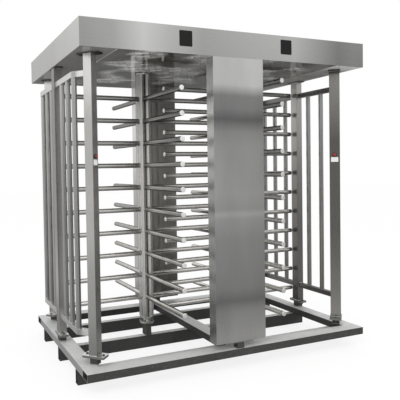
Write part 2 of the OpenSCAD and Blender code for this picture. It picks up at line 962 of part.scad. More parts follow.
module on_left() { translate([-rotor_x, 0, 0]) children(); }
module on_right() { translate([rotor_x, 0, 0]) children(); }

module left_column_tubes() { color(steel) on_left() rotate([0, 0, left_turn]) column_tubes(); }
module right_column_tubes() { color(steel) on_right() rotate([0, 0, right_turn]) column_tubes(); }
module left_column_plates() { color(steel) on_left() column_plates(); }
module right_column_plates() { color(steel) on_right() column_plates(); }
module left_arms() { color(bright) on_left() rotate([0, 0, left_turn]) at_arms(arm_rows, top_row_z) arm(); }

module left_arm_caps() {
    color(bright) on_left() rotate([0, 0, left_turn]) at_arms(arm_rows, top_row_z) arm_cap();
}

module right_arms() {
    color(bright) on_right() rotate([0, 0, right_turn]) at_arms(arm_rows + 1, top_row_z + row_half) arm();
}

module right_arm_caps() {
    color(bright) on_right() rotate([0, 0, right_turn]) at_arms(arm_rows + 1, top_row_z + row_half) arm_cap();
}

module left_shafts() { color(bright) on_left() shafts(); }
module right_shafts() { color(bright) on_right() shafts(); }
module left_index_disc() { color(bright) on_left() rotate([0, 0, left_turn]) index_disc(); }
module right_index_disc() { color(bright) on_right() rotate([0, 0, right_turn]) index_disc(); }
module left_gear() { color(dark) on_left() rotate([0, 0, gear_phase]) drive_gear(); }
module right_gear() { color(dark) on_right() rotate([0, 0, gear_phase]) drive_gear(); }
module left_pinion() { color(bright) on_left() damper_pinion(); }
module right_pinion() { color(bright) on_right() damper_pinion(); }
module left_pawl() { color(steel) on_left() pawl(); }
module right_pawl() { color(steel) on_right() pawl(); }
module left_plunger() { color(bright) on_left() plunger(); }
module right_plunger() { color(bright) on_right() plunger(); }

// Buttons: on the face of each front post that looks forward and in to the passage
module at_button(side) {
    translate([side * corner_x, -corner_y, button_z])
        rotate([0, 0, -side * corner_turn])
            translate([0, -post_d * half_share, 0])
                rotate([90, 0, 0]) children();
}

module button_housings() {
    color(black)
        for (side = [-1, 1])
            at_button(side)
                difference() {
                    cylinder(d = button_ring_d, h = button_ring_h, $fn = 64);
                    translate([0, 0, button_floor])
                        cylinder(d = button_d + 2 * fit_gap, h = button_ring_h, $fn = 64);
                }
}

module push_button() {
    low = button_floor + button_travel + fit_gap;
    translate([0, 0, low]) cylinder(d = button_d, h = button_stand - low, $fn = 64);
}

module left_button() { color([0.6, 0.08, 0.05]) at_button(-1) push_button(); }
module right_button() { color([0.6, 0.08, 0.05]) at_button(1) push_button(); }

module blank_labels() {
    color([0.93, 0.93, 0.93])
        for (side = [-1, 1])
            at_button(side)
                translate([0, -label_drop, 0]) block(label_w, label_h, 0, label_t);
}

base_front_beam();
base_rear_beam();
base_left_beam();
base_right_beam();
base_centre_beam();
base_cross_beams();
foot_stubs();
corner_posts();
side_posts();
cabinet_posts();
foot_plates();
top_flanges();
flange_bolts();
left_guard_rails();
left_guard_bars();
right_guard_rails();
right_guard_bars();
front_cabinet_shell();
rear_cabinet_shell();
cabinet_covers();
canopy_front_fascia();
canopy_rear_fascia();
canopy_end_fascias();
canopy_roof();
canopy_ceiling();
canopy_subframe();
indicator_windows();
control_box();
mechanism_plates();
upper_bearing_housings();
lower_bearing_housings();
bearings();
damper_bodies();
solenoids();
pawl_pivots();
pawl_springs();
left_column_tubes();
left_column_plates();
left_arms();
left_arm_caps();
left_shafts();
left_index_disc();
left_gear();
right_column_tubes();
right_column_plates();
right_arms();
right_arm_caps();
right_shafts();
right_index_disc();
right_gear();
left_pinion();
right_pinion();
left_pawl();
right_pawl();
left_plunger();
right_plunger();
button_housings();
left_button();
right_button();
blank_labels();
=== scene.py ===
import json
import math
import bpy
from mathutils import Matrix


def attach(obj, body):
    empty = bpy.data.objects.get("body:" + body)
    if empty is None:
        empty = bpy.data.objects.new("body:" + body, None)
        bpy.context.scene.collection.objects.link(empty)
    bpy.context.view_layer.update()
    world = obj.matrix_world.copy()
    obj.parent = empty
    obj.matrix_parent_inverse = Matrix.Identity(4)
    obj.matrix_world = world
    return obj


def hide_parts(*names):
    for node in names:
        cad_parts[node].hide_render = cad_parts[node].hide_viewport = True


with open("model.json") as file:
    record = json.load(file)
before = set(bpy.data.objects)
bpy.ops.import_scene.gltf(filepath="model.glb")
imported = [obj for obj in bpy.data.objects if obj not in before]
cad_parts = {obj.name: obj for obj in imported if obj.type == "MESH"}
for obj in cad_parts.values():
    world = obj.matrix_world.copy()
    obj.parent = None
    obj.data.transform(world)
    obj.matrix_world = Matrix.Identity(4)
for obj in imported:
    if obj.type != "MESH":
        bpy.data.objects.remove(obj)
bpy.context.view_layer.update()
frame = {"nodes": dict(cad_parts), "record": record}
nodes = frame["nodes"]
bodyOfNode = {name: body for body, names in frame["record"]["behaviour"]["bodies"].items() for name in names}
slotOfNode = {entry["node"]: entry["material_slot"] for entry in frame["record"]["subparts"]}
print("frame loaded:", len(nodes), "nodes")


# Shader maths as plain expressions
class Wire:
    def __init__(self, finish, socket):
        self.finish = finish
        self.socket = socket

    def math(self, operation, first, second):
        return self.finish.make("ShaderNodeMath", {"operation": operation}, {0: first, 1: second})

    def __add__(self, other):
        return self.math("ADD", self, other)

    def __sub__(self, other):
        return self.math("SUBTRACT", self, other)

    def __rsub__(self, other):
        return self.math("SUBTRACT", other, self)

    def __mul__(self, other):
        return self.math("MULTIPLY", self, other)


class Finish:
    def __init__(self, name):
        self.material = bpy.data.materials.new(name)
        self.material.use_nodes = True
        self.tree = self.material.node_tree
        self.tree.nodes.clear()

    def make(self, kind, settings=None, values=None, output=0):
        node = self.tree.nodes.new(kind)
        for key, value in (settings or {}).items():
            if key == "stops":
                self.setStops(node, value)
            else:
                setattr(node, key, value)
        for key, value in (values or {}).items():
            if isinstance(value, Wire):
                self.tree.links.new(value.socket, node.inputs[key])
            else:
                node.inputs[key].default_value = value
        return Wire(self, node.outputs[output])

    def setStops(self, node, stops):
        elements = node.color_ramp.elements
        while len(elements) < len(stops):
            elements.new(0.5)
        for element, (place, level) in zip(elements, stops):
            element.position = place
            element.color = (level, level, level, 1)

    def noise(self, stretch, detail=3.0, roughness=0.55):
        spot = self.make("ShaderNodeTexCoord", output="Object")
        spread = self.make("ShaderNodeMapping", None, {"Vector": spot, "Scale": stretch})
        return self.make("ShaderNodeTexNoise", None, {
            "Vector": spread, "Scale": 1.0, "Detail": detail, "Roughness": roughness}, output="Fac")

    def ramp(self, level, stops):
        return self.make("ShaderNodeValToRGB", {"stops": stops}, {"Fac": level})

    # One axis of a point's place ("Object") or of the way its surface faces ("Normal")
    def axisOf(self, space, axis):
        return self.make("ShaderNodeSeparateXYZ", None, {
            "Vector": self.make("ShaderNodeTexCoord", output=space)}, output=axis)

    def bump(self, strength, deep, height):
        return self.make("ShaderNodeBump", None, {
            "Strength": strength, "Distance": deep, "Height": height}, output="Normal")

    # Inputs 6 and 7 and output 2 of a Mix node are its colours
    def blend(self, share, first, second):
        return self.make("ShaderNodeMix", {"data_type": "RGBA"}, {
            "Factor": share, 6: (*first, 1) if isinstance(first, tuple) else first,
            7: (*second, 1) if isinstance(second, tuple) else second}, output=2)

    def surface(self, constants, wires):
        shader = self.make("ShaderNodeBsdfPrincipled", None, {**constants, **wires})
        output = self.tree.nodes.new("ShaderNodeOutputMaterial")
        self.tree.links.new(shader.socket, output.inputs["Surface"])
        return self.material


gateSpan = {"X": 2.35, "Y": 1.53, "Z": 2.253}  # length, depth, and height up to the ceiling
facingStops = [(0.45, 0.0), (0.8, 1.0)]  # from a face that looks away to one that looks straight there


# Brushed sheet and tube: fine scratches along one axis over broad soft changes of tone.
# On some, painted light and shade: bands paint reflections and shade along the gate, levels paint them by
# height, sides paint shade on upright faces, leftward paints light on left faces
def brushedFinish(name, look):
    finish = Finish(name)
    scratch = finish.noise(look["scratch"], detail=4.0, roughness=0.7)
    cloud = finish.noise(look["cloud"], detail=2.0)
    warmth = finish.noise(look["warmth"], detail=1.0)
    plain = finish.blend(finish.ramp(cloud, look["cloudStops"]), look["dark"], look["light"])
    tinted = finish.blend((warmth - look["warmFrom"]) * look["tint"], plain, look["warm"])
    # Painted reflections and shade in bands along the gate
    if "bands" in look:
        bands = look["bands"]
        along = finish.axisOf("Object", bands["axis"]) * (1 / gateSpan[bands["axis"]])
        passes = finish.ramp(along + (cloud - 0.5) * bands["sway"] + 0.5, bands["stops"])
        tinted = finish.blend(passes, bands["dark"], bands["light"])
    # Painted shade on upright faces
    if "sides" in look:
        tinted = finish.blend(finish.ramp(finish.axisOf("Normal", "Z"), facingStops), look["sides"], tinted)
    # Painted shade and reflections that change with height
    if "levels" in look:
        levels = look["levels"]
        height = finish.axisOf("Object", "Z") * (1 / gateSpan["Z"]) + (cloud - 0.5) * levels["sway"]
        tinted = finish.blend(finish.ramp(height, levels["stops"]), levels["dark"], tinted)
    # Painted light on faces that look left, changing with height
    if "leftward" in look:
        leftward = look["leftward"]
        facing = finish.ramp(0.0 - finish.axisOf("Normal", "X"), facingStops)
        sided = finish.blend(finish.ramp(height, leftward["stops"]), leftward["low"], leftward["high"])
        tinted = finish.blend(facing, tinted, sided)
    lined = finish.blend((scratch - look["lineFrom"]) * look["lineShare"], tinted, look["line"])
    rough = (scratch - 0.5) * look["roughSpread"] + (cloud - 0.5) * look["cloudRough"] + look["rough"]
    edge = look["edge"]
    return finish.surface({"Metallic": look["metal"], "Specular Tint": (edge, edge, edge, 1)}, {
        "Base Color": lined, "Roughness": rough,
        "Normal": finish.bump(look["relief"], look["reliefDeep"], scratch)})


sheetLook = {
    "dark": (0.33, 0.33, 0.325), "light": (0.45, 0.45, 0.44), "warm": (0.41, 0.39, 0.34),
    "line": (0.62, 0.62, 0.61), "tint": 1.2, "lineShare": 0.35, "rough": 0.28, "roughSpread": 0.12,
    "relief": 0.05, "reliefDeep": 0.0004, "edge": 0.7, "metal": 1.0, "cloudStops": [(0.3, 0.0), (0.7, 1.0)],
    "cloudRough": 0.08, "warmFrom": 0.42, "lineFrom": 0.4,
    "scratch": (900, 900, 9), "cloud": (3.2, 3.2, 0.9), "warmth": (1.1, 1.1, 0.6)}

# Lips under the canopy ends: painted reflections in bands across the gate, and a painted pale reflection of
# the floor under the hem
lipLook = {
    **sheetLook, "scratch": (900, 9, 900), "cloud": (2.0, 1.2, 0.5), "edge": 0.8, "metal": 0.45,
    "lineShare": 0.2,
    "bands": {"axis": "Y", "sway": 0.02, "dark": (0.23, 0.222, 0.20),
              "light": (0.94, 0.94, 0.925), "stops": [
                  (0.05, 1.0), (0.14, 0.22), (0.30, 0.02), (0.60, 0.10), (0.85, 0.30), (0.95, 0.60)]},
    "levels": {"sway": 0.0, "dark": (0.94, 0.93, 0.90), "stops": [(0.9985, 0.0), (0.9993, 1.0)]}}

finishes = {
    "brushedUpright": brushedFinish("brushedUpright", sheetLook),
    "brushedLong": brushedFinish("brushedLong", {
        **sheetLook, "scratch": (9, 900, 900), "cloud": (1.5, 3.0, 0.5), "light": (0.52, 0.52, 0.51)}),
    # Canopy fascias: painted reflections in light and dark bands along the gate
    "fascia": brushedFinish("fascia", {
        **sheetLook, "scratch": (9, 900, 900), "cloud": (2.5, 3.0, 0.5),
        "bands": {"axis": "X", "sway": 0.03, "dark": (0.26, 0.26, 0.253),
                  "light": (0.60, 0.60, 0.587), "stops": [
                      (0.01, 0.08), (0.10, 0.23), (0.19, 0.78), (0.27, 0.46), (0.38, 0.22), (0.50, 0.40),
                      (0.60, 0.56), (0.71, 0.74), (0.80, 0.38), (0.89, 0.0), (0.96, 0.18)]}}),
    # Guard rails: painted light at the left end, fading to painted shade towards the right
    "brushedDeep": brushedFinish("brushedDeep", {
        **sheetLook, "scratch": (900, 9, 900), "cloud": (2.0, 1.2, 0.5), "bands": {
            "axis": "X", "sway": 0.04, "dark": (0.20, 0.198, 0.19),
            "light": (0.76, 0.76, 0.75), "stops": [(0.02, 1.0), (0.12, 0.75), (0.9, 0.0)]}}),
    "canopyEnd": brushedFinish("canopyEnd", {
        **sheetLook, "scratch": (900, 9, 900), "cloud": (2.0, 1.2, 0.5), "dark": (0.46, 0.46, 0.452),
        "light": (0.62, 0.62, 0.603)}),
    # Corner posts: the left ones painted pale as lit and the right ones dark as shaded, both with painted
    # reflections by height; the right ones also carry a painted shadow at the top, under the canopy
    "leftCornerSteel": brushedFinish("leftCornerSteel", {
        **sheetLook, "dark": (0.72, 0.715, 0.695), "light": (0.80, 0.795, 0.775), "tint": 0.4,
        "levels": {"sway": 0.03, "dark": (0.20, 0.197, 0.185), "stops": [
            (0.10, 0.30), (0.24, 0.31), (0.36, 0.38), (0.46, 0.56), (0.56, 0.60), (0.65, 0.54), (0.80, 0.60),
            (0.90, 0.96)]}}),
    "rightCornerSteel": brushedFinish("rightCornerSteel", {
        **sheetLook, "dark": (0.37, 0.362, 0.34), "light": (0.43, 0.42, 0.396), "tint": 0.4, "lineShare": 0.2,
        "levels": {"sway": 0.03, "dark": (0.10, 0.096, 0.09), "stops": [
            (0.13, 0.93), (0.21, 0.57), (0.31, 0.28), (0.42, 0.13), (0.63, 0.12), (0.74, 0.08), (0.84, 0.35),
            (0.980, 0.63), (0.988, 0.0)]}}),
    # Side posts: painted shade by height, the left one darker above mid height and the right one darker low
    # down
    "leftSideSteel": brushedFinish("leftSideSteel", {
        **sheetLook, "dark": (0.42, 0.415, 0.40), "light": (0.48, 0.472, 0.455), "tint": 0.4,
        "lineShare": 0.2,
        "levels": {"sway": 0.03, "dark": (0.25, 0.246, 0.236), "stops": [
            (0.10, 0.90), (0.30, 0.80), (0.45, 0.30), (0.60, 0.20), (0.90, 0.25)]}}),
    "rightSideSteel": brushedFinish("rightSideSteel", {
        **sheetLook, "dark": (0.43, 0.422, 0.405), "light": (0.49, 0.48, 0.46), "tint": 0.4, "lineShare": 0.2,
        "levels": {"sway": 0.03, "dark": (0.14, 0.137, 0.13), "stops": [
            (0.14, 0.08), (0.38, 0.07), (0.50, 0.19), (0.63, 0.38), (0.75, 0.74), (0.88, 0.94)]}}),
    # Cabinets: painted reflections as dark horizontal bands, and painted light on faces that look left
    "cabinetSheet": brushedFinish("cabinetSheet", {
        **sheetLook, "lineShare": 0.22, "dark": (0.46, 0.46, 0.455), "light": (0.62, 0.62, 0.615),
        "levels": {"sway": 0.012, "dark": (0.08, 0.082, 0.08), "stops": [
            (0.11, 1.0), (0.19, 0.55), (0.226, 0.21), (0.265, 0.34), (0.42, 0.40), (0.49, 0.54),
            (0.503, 0.70), (0.52, 0.52), (0.57, 0.60), (0.72, 0.52), (0.765, 0.42), (0.805, 0.10),
            (0.84, 0.30), (0.88, 0.32), (0.915, 1.0)]},
        "leftward": {"low": (0.40, 0.40, 0.392), "high": (0.78, 0.78, 0.765), "stops": [
            (0.10, 0.06), (0.20, 0.30), (0.30, 0.16), (0.45, 0.05), (0.60, 0.28), (0.68, 0.70), (0.85, 1.0),
            (0.93, 0.62), (0.98, 0.12)]}}),
    # The left lip is painted dark as shaded; the right one keeps the pale painted reflections
    "leftLip": brushedFinish("leftLip", {
        **lipLook, "bands": {
            **lipLook["bands"], "dark": (0.17, 0.163, 0.147), "light": (0.21, 0.204, 0.188)}}),
    "rightLip": brushedFinish("rightLip", lipLook),
    "innerCabinet": brushedFinish("innerCabinet", {
        **sheetLook, "lineShare": 0.2, "dark": (0.205, 0.204, 0.194), "light": (0.285, 0.282, 0.266),
        "warm": (0.20, 0.195, 0.172), "line": (0.3, 0.3, 0.29)}),
    # Arms: painted shade that grows with height; low arms keep their own tone
    "groundTube": brushedFinish("groundTube", {
        **sheetLook, "dark": (0.54, 0.53, 0.51), "light": (0.68, 0.67, 0.64), "rough": 0.2, "edge": 0.35,
        "line": (0.66, 0.66, 0.645), "scratch": (260, 260, 260), "cloud": (9, 9, 9), "relief": 0.03,
        "warm": (0.50, 0.478, 0.415), "levels": {"sway": 0.02, "dark": (0.26, 0.256, 0.245), "stops": [
            (0.15, 1.0), (0.30, 0.85), (0.45, 0.62), (0.62, 0.42), (0.80, 0.18), (0.95, 0.06)]}}),
    # Rotor columns: painted shade towards the top, under the canopy
    "columnTube": brushedFinish("columnTube", {
        **sheetLook, "dark": (0.62, 0.612, 0.59), "light": (0.74, 0.732, 0.71), "rough": 0.26, "edge": 0.5,
        "line": (0.78, 0.78, 0.765), "warm": (0.66, 0.64, 0.58), "lineShare": 0.25,
        "levels": {"sway": 0.02, "dark": (0.40, 0.395, 0.38), "stops": [(0.70, 1.0), (0.95, 0.20)]}}),
    # Guard bars: painted shade, darker towards the bottom
    "guardBar": brushedFinish("guardBar", {
        **sheetLook, "dark": (0.42, 0.42, 0.412), "light": (0.54, 0.54, 0.53), "levels": {
            "sway": 0.02, "dark": (0.22, 0.22, 0.214), "stops": [
                (0.10, 0.35), (0.50, 0.42), (0.70, 0.78), (0.90, 1.0)]}}),
    "armCap": brushedFinish("armCap", {
        **sheetLook, "dark": (0.80, 0.80, 0.785), "light": (0.90, 0.90, 0.885), "rough": 0.36,
        "line": (0.86, 0.86, 0.85), "warm": (0.76, 0.74, 0.68), "scratch": (300, 300, 300),
        "cloud": (30, 30, 30)}),
    "turnedSteel": brushedFinish("turnedSteel", {
        **sheetLook, "dark": (0.62, 0.61, 0.59), "light": (0.76, 0.75, 0.73), "edge": 0.6,
        "scratch": (160, 160, 700), "cloud": (14, 14, 14), "rough": 0.25}),
    # Foot plates: painted shade on their upright edges and towards the right
    "palePlate": brushedFinish("palePlate", {
        **sheetLook, "dark": (0.72, 0.72, 0.71), "light": (0.88, 0.88, 0.87), "line": (0.92, 0.92, 0.91),
        "warm": (0.80, 0.79, 0.75), "scratch": (300, 300, 300), "cloud": (30, 30, 30), "edge": 0.9,
        "rough": 0.38, "sides": (0.24, 0.24, 0.235), "bands": {
            "axis": "X", "sway": 0.06, "dark": (0.16, 0.158, 0.15), "light": (0.86, 0.86, 0.85),
            "stops": [(0.06, 1.0), (0.9, 0.0)]}}),
    "shadedPlate": brushedFinish("shadedPlate", {
        **sheetLook, "dark": (0.10, 0.10, 0.097), "light": (0.17, 0.17, 0.165), "line": (0.24, 0.24, 0.23),
        "warm": (0.13, 0.125, 0.11), "scratch": (300, 300, 300), "cloud": (20, 20, 20), "edge": 0.4}),
    "plateBolt": brushedFinish("plateBolt", {
        **sheetLook, "dark": (0.10, 0.10, 0.098), "light": (0.22, 0.22, 0.21), "line": (0.3, 0.3, 0.29),
        "warm": (0.16, 0.155, 0.13), "scratch": (300, 300, 300), "cloud": (60, 60, 60), "rough": 0.4}),
    "boltSteel": brushedFinish("boltSteel", {
        **sheetLook, "dark": (0.40, 0.40, 0.39), "light": (0.60, 0.60, 0.58), "scratch": (300, 300, 300),
        "cloud": (40, 40, 40)}),
    "bushBronze": brushedFinish("bushBronze", {
        **sheetLook, "dark": (0.42, 0.29, 0.12), "light": (0.60, 0.44, 0.2), "warm": (0.5, 0.36, 0.16),
        "line": (0.72, 0.58, 0.32), "scratch": (160, 160, 700), "cloud": (14, 14, 14)}),
}


# Polished sheet that mirrors what stands under it; painted reflections of window panes lie on it in loose
# patches, as pale blocks with less metal
def polishedFinish(name, look):
    finish = Finish(name)
    wave = finish.noise(look["wave"], detail=1.0)
    smear = finish.noise(look["smear"], detail=4.0)
    cluster = finish.noise(look["cluster"], detail=1.0)
    ground = finish.blend(smear, look["dark"], look["light"])
    spot = finish.make("ShaderNodeMapping", None, {
        "Vector": finish.make("ShaderNodeTexCoord", output="Object"), "Rotation": (0, 0, look["paneTurn"])})
    dim = look["paneDim"]
    panes = finish.make("ShaderNodeTexBrick", None, {
        "Vector": spot, "Color1": (1, 1, 1, 1), "Color2": (dim, dim, dim, 1), "Mortar": (0, 0, 0, 1),
        "Scale": look["paneScale"], "Mortar Size": look["gap"], "Mortar Smooth": look["gapSoft"],
        "Brick Width": look["paneWide"], "Row Height": look["paneHigh"]}, output="Color")
    # Painted reflections of window panes, gathered in patches; there the sheet turns pale and matte
    lit = finish.ramp(cluster, look["gather"]) * panes
    colour = finish.blend(lit, ground, look["pane"])
    edge = look["edge"]
    return finish.surface({"Specular Tint": (edge, edge, edge, 1)}, {
        "Base Color": colour, "Roughness": (smear - 0.5) * look["roughSpread"] + look["rough"],
        "Normal": finish.bump(look["relief"], look["reliefDeep"], wave),
        "Metallic": 1.0 - lit * look["haze"]})


# Ceiling: painted pale reflections of window panes
finishes["polishedSheet"] = polishedFinish("polishedSheet", {
    "wave": (4, 4, 4), "smear": (5, 9, 5), "cluster": (2.6, 2.6, 2.6), "paneScale": 5.0,
    "dark": (0.28, 0.272, 0.25), "light": (0.72, 0.71, 0.675), "pane": (0.95, 0.95, 0.94), "haze": 0.8,
    "paneTurn": 0.5, "paneDim": 0.45, "paneWide": 0.5, "paneHigh": 0.24, "gap": 0.014, "gapSoft": 0.4,
    "gather": [(0.50, 0.0), (0.60, 1.0)], "relief": 0.5, "reliefDeep": 0.004, "rough": 0.08,
    "roughSpread": 0.08, "edge": 0.72})


# Weathered steel of the base with painted light and shade: open upper faces are painted pale as lit, the left
# beam's outer face is half painted pale as lit from the left, and the other upright faces and the bores are
# painted dark as shaded; the specks and stains are its own
def baseFinish(name, look):
    finish = Finish(name)
    speck = finish.noise(look["speck"], detail=6.0, roughness=0.7)
    stain = finish.noise(look["stain"], detail=3.0)
    height = finish.axisOf("Object", "Z")
    above = {key: height.math("GREATER_THAN", height, look[key]) for key in (
        "lowTopsFrom", "lowTopsTo", "highTopsFrom", "paintedLitLeftFrom", "paintedLitLeftTo")}
    opened = above["highTopsFrom"] + above["lowTopsFrom"] - above["lowTopsTo"]
    outer = height.math("LESS_THAN", finish.axisOf("Object", "X"), look["paintedLitLeftOf"])
    upward = finish.ramp(finish.axisOf("Normal", "Z"), facingStops)
    leftward = finish.ramp(0.0 - finish.axisOf("Normal", "X"), facingStops)
    # Upright faces and bores: painted dark as shaded, with stains
    side = finish.blend(stain, look["sideDark"], look["sideLight"])
    # The left beam's outer face between two heights: painted pale as lit from the left
    worn = finish.blend(leftward * ((above["paintedLitLeftFrom"] - above["paintedLitLeftTo"]) * outer), side, look["worn"])
    # Open upper faces: painted pale as lit, with stains
    top = finish.blend(stain, look["topDark"], look["topLight"])
    tone = finish.blend(upward * opened, worn, top)
    colour = finish.blend((speck - look["speckFrom"]) * look["speckShare"], tone, look["speckColour"])
    return finish.surface({"Metallic": look["metal"]}, {
        "Base Color": colour, "Roughness": (speck - 0.5) * look["roughSpread"] + look["rough"],
        "Normal": finish.bump(look["relief"], look["reliefDeep"], speck)})


finishes["baseSteel"] = baseFinish("baseSteel", {
    "speck": (110, 110, 110), "stain": (5, 5, 5), "sideDark": (0.020, 0.021, 0.020),
    "sideLight": (0.050, 0.051, 0.048), "topDark": (0.46, 0.465, 0.46), "topLight": (0.76, 0.765, 0.755),
    "worn": (0.24, 0.243, 0.24), "paintedLitLeftOf": -1.1, "paintedLitLeftFrom": 0.101, "paintedLitLeftTo": 0.156,
    "lowTopsFrom": 0.05, "lowTopsTo": 0.102, "highTopsFrom": 0.13,
    "speckColour": (0.24, 0.24, 0.23), "speckFrom": 0.52, "speckShare": 1.6, "relief": 0.15,
    "reliefDeep": 0.0006, "metal": 0.1, "rough": 0.55, "roughSpread": 0.25})


# Painted, moulded and printed surfaces
def mouldedFinish(name, look):
    finish = Finish(name)
    grain = finish.noise(look["grain"], detail=4.0)
    handling = finish.noise(look["handling"], detail=2.0)
    colour = finish.blend(handling, look["dark"], look["light"])
    return finish.surface({"Metallic": 0.0, "Specular IOR Level": look["shine"]}, {
        "Base Color": colour, "Roughness": (grain - 0.5) * look["roughSpread"] + look["rough"],
        "Normal": finish.bump(look["relief"], look["reliefDeep"], grain)})


mouldedLook = {"grain": (600, 600, 600), "handling": (30, 30, 30), "relief": 0.2, "reliefDeep": 0.0003,
               "roughSpread": 0.2, "shine": 0.5}
finishes["blackPaint"] = mouldedFinish("blackPaint", {
    **mouldedLook, "dark": (0.018, 0.018, 0.02), "light": (0.04, 0.04, 0.043), "rough": 0.5})
finishes["darkWindow"] = mouldedFinish("darkWindow", {
    **mouldedLook, "dark": (0.006, 0.006, 0.006), "light": (0.012, 0.012, 0.012), "rough": 0.3,
    "relief": 0.02, "shine": 0.15})
finishes["blackRing"] = mouldedFinish("blackRing", {
    **mouldedLook, "dark": (0.012, 0.012, 0.012), "light": (0.03, 0.03, 0.03), "rough": 0.45})
finishes["redCap"] = mouldedFinish("redCap", {
    **mouldedLook, "dark": (0.26, 0.012, 0.01), "light": (0.42, 0.03, 0.02), "rough": 0.3})
finishes["whitePlate"] = mouldedFinish("whitePlate", {
    **mouldedLook, "dark": (0.70, 0.70, 0.69), "light": (0.82, 0.82, 0.81), "rough": 0.45})
print("finishes made:", len(finishes))

finishOfSlot = {
    "brushed_stainless": "brushedUpright", "arm_stainless": "groundTube", "polished_ceiling": "polishedSheet",
    "base_steel": "baseSteel", "machined_steel": "turnedSteel", "zinc_bolts": "boltSteel",
    "bearing_bronze": "bushBronze", "mechanism_black": "blackPaint", "window_black": "darkWindow",
    "button_black": "blackRing", "button_red": "redCap", "label_white": "whitePlate"}
finishOfNode = {
    "canopy_front_fascia": "fascia", "canopy_rear_fascia": "fascia", "canopy_roof": "brushedLong",
    "front_cabinet_shell": "cabinetSheet", "rear_cabinet_shell": "cabinetSheet",
    "cabinet_covers": "innerCabinet", "canopy_end_fascias": "canopyEnd",
    "corner_posts": "leftCornerSteel", "side_posts": "leftSideSteel", "top_flanges": "shadedPlate",
    "left_guard_rails": "brushedDeep", "right_guard_rails": "brushedDeep",
    "left_arm_caps": "armCap", "right_arm_caps": "armCap", "foot_plates": "palePlate",
    "left_column_tubes": "columnTube", "right_column_tubes": "columnTube",
    "left_guard_bars": "guardBar", "right_guard_bars": "guardBar"}


def finishFor(node):
    return finishes[finishOfNode.get(node, finishOfSlot[slotOfNode[node]])]


for name, thing in nodes.items():
    thing.data.materials.clear()
    thing.data.materials.append(finishFor(name))
print("nodes dressed")


def deselectAll():
    if bpy.context.object and bpy.context.object.mode != "OBJECT":
        bpy.ops.object.mode_set(mode="OBJECT")
    bpy.ops.object.select_all(action="DESELECT")


def activate(thing):
    deselectAll()
    thing.select_set(True)
    bpy.context.view_layer.objects.active = thing


def applyPlace():
    bpy.ops.object.transform_apply(location=True, rotation=True, scale=True)


def leaveEdit():
    bpy.ops.object.mode_set(mode="OBJECT")


def extrudeBy(z):
    bpy.ops.mesh.extrude_region_move(TRANSFORM_OT_translate={"value": (0, 0, z)})


def moveBy(x, y, z):
    bpy.ops.transform.translate(value=(x, y, z))


def smoothBy(degrees):
    bpy.ops.object.shade_smooth_by_angle(angle=math.radians(degrees))


def applyModifiers(thing):
    activate(thing)
    for modifier in list(thing.modifiers):
        bpy.ops.object.modifier_apply(modifier=modifier.name)


def settle(thing, finish, body):
    activate(thing)
    applyPlace()
    thing.data.materials.clear()
    thing.data.materials.append(finish)
    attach(thing, body)


def place(verb, **options):
    deselectAll()
    verb(**options)
    return bpy.context.object


squarely = 0.9  # how far the normal of a chosen face reaches along its axis


def faceSelect(thing, chosen):
    bpy.ops.object.mode_set(mode="EDIT")
    bpy.ops.mesh.select_mode(type="FACE")
    bpy.ops.mesh.select_all(action="DESELECT")
    leaveEdit()
    for face in thing.data.polygons:
        face.select = chosen(face)
    bpy.ops.object.mode_set(mode="EDIT")


rounding = {"merge": 0.00002, "flatAngle": 1, "cornerAngle": 50, "smoothAngle": 35, "segments": 2,
            "weight": 80}


# A copy of a node with its triangles joined and its corners rounded as folded or rolled steel is;
# side keeps only the faces at the left (-1) or at the right (1)
def roundedCopy(node, pieceName, width, finish=None, side=0):
    piece = bpy.data.objects.new(pieceName, nodes[node].data.copy())
    bpy.context.scene.collection.objects.link(piece)
    activate(piece)
    faceSelect(piece, lambda face: face.center.x * side < 0)
    bpy.ops.mesh.delete(type="FACE")
    bpy.ops.mesh.select_all(action="SELECT")
    bpy.ops.mesh.remove_doubles(threshold=rounding["merge"])
    bpy.ops.mesh.dissolve_limited(angle_limit=math.radians(rounding["flatAngle"]))
    leaveEdit()
    bevel = piece.modifiers.new("corners", "BEVEL")
    bevel.width = width
    bevel.segments = rounding["segments"]
    bevel.limit_method = "ANGLE"
    bevel.angle_limit = math.radians(rounding["cornerAngle"])
    bevel.use_clamp_overlap = True
    applyModifiers(piece)
    smoothBy(rounding["smoothAngle"])
    evenOut = piece.modifiers.new("evenOut", "WEIGHTED_NORMAL")
    evenOut.weight = rounding["weight"]
    evenOut.keep_sharp = True
    applyModifiers(piece)
    settle(piece, finish or finishFor(node), bodyOfNode[node])
    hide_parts(node)


postCorner = 0.0025
roundedNodes = {
    "base_front_beam": 0.004, "base_rear_beam": 0.004, "base_left_beam": 0.003, "base_right_beam": 0.003,
    "base_centre_beam": 0.003, "base_cross_beams": 0.004, "foot_stubs": 0.002, "canopy_front_fascia": 0.0006,
    "foot_plates": 0.0012, "top_flanges": 0.0012, "left_guard_rails": 0.0018, "right_guard_rails": 0.0018,
    "front_cabinet_shell": 0.0009, "rear_cabinet_shell": 0.0009, "left_arm_caps": 0.0012,
    "right_arm_caps": 0.0012, "canopy_end_fascias": 0.0007, "lower_bearing_housings": 0.001,
    "left_column_plates": 0.0012, "right_column_plates": 0.0012}


def pieceNameOf(node):
    first, *others = node.split("_")
    return first + "".join(word.capitalize() for word in others) + "Rounded"


for node, width in roundedNodes.items():
    roundedCopy(node, pieceNameOf(node), width)
# Left and right posts are copied apart to take separate finishes with different painted light and shade
for side, name in ((-1, "left"), (1, "right")):
    roundedCopy("corner_posts", name + "CornerPosts", postCorner, finishes[name + "CornerSteel"], side)
    roundedCopy("side_posts", name + "SidePost", postCorner, finishes[name + "SideSteel"], side)
print("rounded pieces:", len(roundedNodes) + 4)


# The others join the first
def joinParts(*parts):
    for thing in parts:
        thing.select_set(True)
    bpy.context.view_layer.objects.active = parts[0]
    bpy.ops.object.join()
    return bpy.context.object


